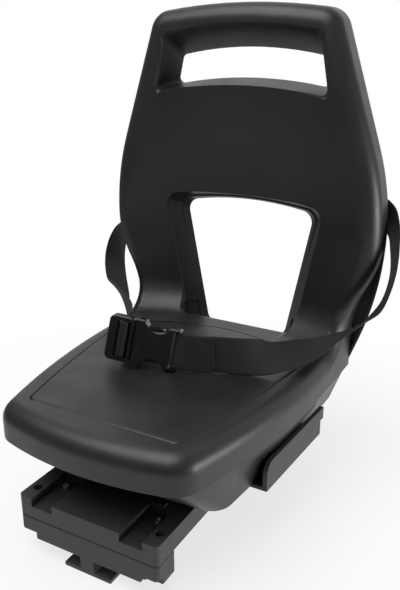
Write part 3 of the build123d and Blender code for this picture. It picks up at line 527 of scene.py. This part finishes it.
def fill_pad(shape):
    """Top grid, four rows round the rolled edge, the sides and the underside."""
    inner = 1 - PAD_ROLL / PAD_HALF
    grid = {}
    for i in range(ACROSS + 1):
        for j in range(ALONG + 1):
            p = middle + (pad_point(i, j) - middle) * inner
            grid[i, j] = shape.verts.new((p.x, p.y, pad_high.z))
    for i in range(ACROSS):
        for j in range(ALONG):
            shape.faces.new([grid[i, j], grid[i + 1, j], grid[i + 1, j + 1], grid[i, j + 1]])
    ring = [(i, 0) for i in range(ACROSS)] + [(ACROSS, j) for j in range(ALONG)]
    ring += [(i, ALONG) for i in range(ACROSS, 0, -1)] + [(0, j) for j in range(ALONG, 0, -1)]
    rows = [[grid[key] for key in ring]]
    for turn in ROLL_TURNS:
        out, down = math.sin(math.radians(turn)), 1 - math.cos(math.radians(turn))
        share = inner + (1 - inner) * out
        row = []
        for key in ring:
            p = middle + (pad_point(*key) - middle) * share
            row.append(shape.verts.new((p.x, p.y, pad_high.z - PAD_ROLL * down)))
        rows.append(row)
    rows.append([shape.verts.new((v.co.x, v.co.y, pad_low.z)) for v in rows[-1]])
    for upper, lower in zip(rows, rows[1:]):
        for k in range(len(ring)):
            after = (k + 1) % len(ring)
            shape.faces.new([upper[k], lower[k], lower[after], upper[after]])
    shape.faces.new(rows[-1][::-1])
    for face in shape.faces:
        face.smooth = True


pad = new_piece("seat_pad_skin", fill_pad)
print("pad skin has", len(pad.data.polygons), "faces")

# %% Blow the top up a little with the cloth solver
def swell(piece, free, frames, cap):
    """Cloth with pressure inside, free by the share that free() gives, moved by cap at most."""
    held = piece.vertex_groups.new(name="held")
    shares = [free(v.co) for v in piece.data.vertices]
    for v, share in zip(piece.data.vertices, shares):
        held.add([v.index], 1 - share, "REPLACE")
    rest = [v.co.copy() for v in piece.data.vertices]
    cloth = piece.modifiers.new("swell", "CLOTH")
    cloth.settings.vertex_group_mass = "held"
    cloth.settings.use_pressure = True
    cloth.settings.uniform_pressure_force = 1.5
    cloth.settings.tension_stiffness = 40
    cloth.settings.compression_stiffness = 40
    cloth.settings.bending_stiffness = 4
    cloth.settings.effector_weights.gravity = 0
    for number in range(1, frames + 1):
        scene.frame_set(number)
    evaluated = piece.evaluated_get(bpy.context.evaluated_depsgraph_get())
    moves = [v.co - start for v, start in zip(evaluated.data.vertices, rest)]
    longest = max(m.length for m in moves)
    piece.modifiers.remove(cloth)
    piece.vertex_groups.clear()
    scene.frame_set(1)
    for v, start, move in zip(piece.data.vertices, rest, moves):
        v.co = start + move * min(1.0, cap / max(longest, TINY))
    return longest


def off_the_rim(co):
    """0 on the pad's sides and underside, rising to 1 a little way in from its edge."""
    if co.z < pad_high.z - TINY:
        return 0.0
    reach = min((Vector((co.x, co.y)) - p).length for p in rim_walk)
    return min(1.0, max(0.0, (reach - PAD_ROLL) / RISE_WITHIN))


rim_walk = walk(rim + rim[:1], RIM_STEPS)
lift = swell(pad, off_the_rim, frames=20, cap=PAD_CROWN)
print("the solver lifted the pad by", round(lift / MM, 2), "mm; at most", PAD_CROWN / MM, "are kept")
pad.data.materials.append(pad_skin)
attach(pad, "seat")
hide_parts("seat_pad")

# %% [markdown]
# ## Webbing: woven polyester
#
# The belt is black polyester webbing, 38 mm wide and 1.6 mm thick. It is woven with thick threads
# across it, which stand out as ribs about 2.8 mm apart, and has a rounded, denser selvedge along both
# edges. The ribs are modelled, and shade is painted into the colour as dark and light bands, one for
# each rib, standing for the shade in the grooves; the finer threads are bump, and a faint sheen comes
# from the fibres. Blender's wave pattern multiplies lengths by 20, so that number goes into its scale.

# %% Webbing
RIB = 2.8
WAVE_SPREAD = 20
webbing_black, tree, place = new_material("woven_polyester_webbing")
across = add(tree, "ShaderNodeUVMap", {"uv_map": "strap_mm"})
thread = add(tree, "ShaderNodeTexWave", {"bands_direction": "X", "wave_profile": "SIN"}, {
    "Vector": across, "Scale": 0.45, "Distortion": 0.6, "Detail": 1.0})
# Painted shade: a dark and light band of colour for each rib, standing for the shade in the grooves.
rib_shade_bands = add(tree, "ShaderNodeTexWave", {"bands_direction": "Y", "wave_profile": "SIN"}, {
    "Vector": across, "Scale": 2 * math.pi / (WAVE_SPREAD * RIB), "Phase Offset": math.pi / 2})
fuzz = noise(tree, place, 1.1, 3.0)
height = add(tree, "ShaderNodeMix", {"data_type": "FLOAT"}, {
    "Factor_Float": 0.4, "A_Float": thread, "B_Float": fuzz})
surface(tree, {
    "Base Color": between_colours(tree, rib_shade_bands, "#030303", "#161617"),
    "Roughness": 0.75,
    "Normal": relief(tree, height, 0.35, 0.3),
    "IOR": 1.5,
    "Sheen Weight": 0.05,
    "Sheen Roughness": 0.4,
})
print("made", webbing_black.name)

# %% [markdown]
# ## The lap belt
#
# Each half of the belt is screwed to the back of the seat, comes round the side of the backrest and
# runs to its half of the buckle. A strap can't be simulated well as a thin solid, so it is drawn
# directly: a smooth line through points along the strap, each with the direction across it, carries a
# flat section with ribs on both faces.

# %% Places on the seat and on the buckle, as in the solid model
BACK_HALF, BACK_REAR, BACK_HEIGHT, RIM_LEVEL = 170.0, 341.0, 364.5, 151.5


def on_seat(across, along, up):
    """Place in millimetres, from shares of the back's half width, depth and height over the rim."""
    return Vector((across * BACK_HALF, along * BACK_REAR, RIM_LEVEL + up * BACK_HEIGHT))


buckle_foot = on_seat(0.065, 0.450, 0.062)
run = Vector((-0.94, -0.30, 0.15)).normalized()
upward = (Vector((0, 0, 1)) - run * run.z).normalized()
lean = math.radians(12)
rear = run.cross(upward) * math.cos(lean) - upward * math.sin(lean)
wide = rear.cross(run)


def on_buckle(x, y, z):
    """Point from the buckle's own lengths: along it, across it and to its rear."""
    return buckle_foot + run * x + wide * y + rear * z


print("buckle runs along", [round(c, 3) for c in run], "its width along", [round(c, 3) for c in wide])

# %% Strap builder
BELT_WIDTH, BELT_THICK = 38.0, 1.6
RIB_HEIGHT, RINGS_PER_RIB, RIBBED_HALF = 0.3, 4, 17
LINE_STEPS = 40
SELVEDGE = [(19.0, 0.0), (18.7, 0.62), (17.8, 0.9)]
FLAT_PLACES = (-16.6, -11.0, -5.5, 0.0, 5.5, 11.0, 16.6)
HALF_SECTION = [(-u, v) for u, v in SELVEDGE]
HALF_SECTION += [(u, BELT_THICK / 2) for u in FLAT_PLACES]
HALF_SECTION += SELVEDGE[:0:-1]


def eased(values, i, t):
    """Point a share t of the way from value i to the next, on a smooth curve through all the values."""
    last = len(values) - 1
    before, here, ahead, beyond = (values[min(max(i + k, 0), last)] for k in (-1, 0, 1, 2))
    return here + ((ahead - before) * t + (before * 2 - here * 5 + ahead * 4 - beyond) * t**2
                   + (here * 3 - before - ahead * 3 + beyond) * t**3) * 0.5


def strap_line(stations, step):
    """Centres, directions across and lengths at equal steps along the strap."""
    centres, sides = [c for c, _ in stations], [a for _, a in stations]
    steps = [(i, k / LINE_STEPS) for i in range(len(stations) - 1) for k in range(LINE_STEPS)]
    fine = [(eased(centres, i, t), eased(sides, i, t)) for i, t in steps]
    fine.append(stations[-1])
    line, travelled, goal = [fine[0]], 0.0, step
    for (here, side), (ahead, next_side) in zip(fine, fine[1:]):
        gap = (ahead - here).length
        while gap > 0 and travelled + gap >= goal:
            share = (goal - travelled) / gap
            line.append((here.lerp(ahead, share), side.lerp(next_side, share)))
            goal += step
        travelled += gap
    return line, travelled


def strap(name, stations):
    """Ribbed webbing along the stations, in millimetres."""
    line, length = strap_line(stations, RIB / RINGS_PER_RIB)
    section = HALF_SECTION + [(-u, -v) for u, v in HALF_SECTION]

    def fill(shape):
        layer = shape.loops.layers.uv.new("strap_mm")
        rings = []
        for k, (centre, side) in enumerate(line):
            ahead = line[min(k + 1, len(line) - 1)][0] - line[max(k - 1, 0)][0]
            along = ahead.normalized()
            flat = (side - along * side.dot(along)).normalized()
            normal = along.cross(flat)
            rib = RIB_HEIGHT * math.cos(2 * math.pi * k / RINGS_PER_RIB)
            ring = []
            for u, v in section:
                lift = v + math.copysign(rib, v) * (abs(u) < RIBBED_HALF) if v else 0.0
                ring.append(shape.verts.new((centre + flat * u + normal * lift) * MM))
            rings.append(ring)
        count = len(section)
        for k, (ring, after) in enumerate(zip(rings, rings[1:])):
            for m in range(count):
                n = (m + 1) % count
                face = shape.faces.new([ring[m], ring[n], after[n], after[m]])
                face.smooth = True
                for loop, (row, point) in zip(face.loops, ((k, m), (k, n), (k + 1, n), (k + 1, m))):
                    loop[layer].uv = (section[point][0], row * RIB / RINGS_PER_RIB)
        shape.faces.new(rings[0][::-1])
        shape.faces.new(rings[-1])
        bmesh.ops.recalc_face_normals(shape, faces=shape.faces)

    piece = new_piece(name, fill)
    piece.data.materials.append(webbing_black)
    return piece, length


print("webbing is", BELT_WIDTH, "by", BELT_THICK, "mm, with a rib every", RIB, "mm")

# %% [markdown]
# ## How the belt is fixed
#
# Both halves start under a black plastic anchor behind the back. The right half goes round the bar of the
# buckle's body and is sewn back onto itself, so its end lies double in front. The left half comes from
# behind through the ladder of the tongue, over its middle bar and back, which is how it is adjusted.

# %% Right half: from its anchor, round the bar of the buckle's body and back onto itself
BELT_Y, ANCHOR_X, ANCHOR_Z = 342.1, 112.0, 322.0
ANCHOR_TILT, ANCHOR_RUN = math.radians(30), (-20.0, 23.0)


def anchored(side):
    """First two stations, flat on the back under the anchor. The side is 1 or -1."""
    flat = Vector((-math.sin(ANCHOR_TILT), 0, -side * math.cos(ANCHOR_TILT)))
    places = []
    for along in ANCHOR_RUN:
        x = side * (ANCHOR_X + along * math.cos(ANCHOR_TILT))
        places.append((Vector((x, BELT_Y, ANCHOR_Z - along * math.sin(ANCHOR_TILT))), flat))
    return places


def course(*rows):
    """Stations from shares of the seat's sizes and the direction across the strap."""
    return [(on_seat(*row[:3]), Vector(row[3:])) for row in rows]


right_stations = anchored(1) + course(
    (0.929, 1.008, 0.396, -0.50, 0.05, -0.86),
    (1.018, 1.003, 0.364, -0.47, 0.66, -0.58),
    (1.062, 0.965, 0.309, -0.42, 0.80, -0.43),
    (1.085, 0.924, 0.243, -0.36, 0.86, -0.38),
    (1.074, 0.880, 0.180, -0.35, 0.86, -0.38),
    (1.035, 0.845, 0.136, -0.40, 0.85, -0.36),
    (0.965, 0.806, 0.106, -0.25, 0.90, -0.37),
    (0.847, 0.745, 0.078, -0.32, 0.95, -0.15),
    (0.718, 0.669, 0.053, -0.35, 0.86, 0.27),
    (0.588, 0.592, 0.045, -0.34, 0.74, 0.49),
    (0.447, 0.534, 0.051, -0.10, 0.36, 0.93),
    (0.282, 0.493, 0.056, *wide),
)
round_bar = [
    (-24, 1.5, 1.1), (-8, 0, 2.0), (0.5, 0, 3.7), (3.6, 0, 3.4), (5.0, 0, 1.6), (5.1, 0, -1.2),
    (4.0, 0, -3.2), (1.2, 0, -3.8), (-5, 0, -2.2), (-13, 0.3, -1.1), (-25, 1.6, -0.75), (-38, 4.0, -0.1),
]
right_stations += [(on_buckle(*place), wide) for place in round_bar]
right_strap, right_length = strap("webbing_right", right_stations)
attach(right_strap, "seat")
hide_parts("belt_strap_right")
print("right strap:", round(right_length), "mm,", len(right_strap.data.polygons), "faces")

# %% Stitching: a box with a cross through the doubled end
from mathutils import Matrix

SEAM_FROM, SEAM_TO, SEAM_HALF, PITCH = -34.0, -20.0, 15.0, 3.0
STITCH_LONG, STITCH_WIDE, STITCH_HIGH = 2.2, 0.9, 0.6
LAP_START, LAP_LONG, LAP_ASIDE, LAP_LEVEL, LAP_LIFT = -13.0, 25.0, 3.9, -1.1, 1.0


def on_lap(x, y):
    """Point on the front of the doubled end, which rises a little away from the buckle."""
    share = (LAP_START - x) / LAP_LONG
    return on_buckle(x, y + LAP_ASIDE * share, LAP_LEVEL + LAP_LIFT * share - BELT_THICK / 2)


def fill_stitches(shape):
    """Flattened beads along the four sides and the two diagonals."""
    box = [(SEAM_FROM, -SEAM_HALF), (SEAM_TO, -SEAM_HALF), (SEAM_TO, SEAM_HALF), (SEAM_FROM, SEAM_HALF)]
    seams = list(zip(box, box[1:] + box[:1])) + [(box[0], box[2]), (box[1], box[3])]
    for (x0, y0), (x1, y1) in seams:
        count = round(math.hypot(x1 - x0, y1 - y0) / PITCH)
        heading = (on_lap(x1, y1) - on_lap(x0, y0)).to_track_quat("X", "Z").to_matrix().to_4x4()
        for k in range(count):
            share = (k + 0.5) / count
            centre = on_lap(x0 + (x1 - x0) * share, y0 + (y1 - y0) * share) * MM
            size = Matrix.Diagonal((STITCH_LONG / 2 * MM, STITCH_WIDE / 2 * MM, STITCH_HIGH / 2 * MM, 1))
            bmesh.ops.create_uvsphere(shape, u_segments=6, v_segments=4, radius=1,
                                      matrix=Matrix.Translation(centre) @ heading @ size)


stitches = new_piece("box_stitching", fill_stitches)
stitches.data.materials.append(webbing_black)
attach(stitches, "seat")
print("stitching has", len(stitches.data.polygons), "faces")

# %% Left half: from its anchor, through the ladder of the buckle's tongue
LADDER = 65.5
left_stations = anchored(-1) + course(
    (-0.929, 1.009, 0.369, -0.55, 0.10, 0.80),
    (-1.071, 1.013, 0.298, -0.30, 0.75, 0.58),
    (-1.129, 0.988, 0.221, 0.05, 0.98, 0.10),
    (-1.141, 0.962, 0.155, 0.10, 0.95, -0.20),
    (-1.088, 0.921, 0.100, 0.20, 0.90, -0.40),
    (-0.965, 0.853, 0.059, 0.35, 0.60, -0.60),
    (-0.782, 0.754, 0.057, 0.30, 0.10, -0.90),
    (-0.582, 0.645, 0.063, 0.10, -0.10, -0.97),
    (-0.435, 0.545, 0.073, *-wide),
)
through_ladder = [
    (LADDER, 0, 20), (64.6, 0, 6.3), (64.1, 0, -4.4), (63.2, 0, -6.8), (60.75, 0, -7.5), (58.3, 0, -6.8),
    (57.4, 0, -4.4), (57.0, 0, 6.3), (55.0, 0, 14), (49.0, 0, 21), (40.0, 0, 25),
]
left_stations += [(on_buckle(*place), -wide) for place in through_ladder]
left_strap, left_length = strap("webbing_left", left_stations)
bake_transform(left_strap)
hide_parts("belt_strap_left")
print("left strap:", round(left_length), "mm,", len(left_strap.data.polygons), "faces")
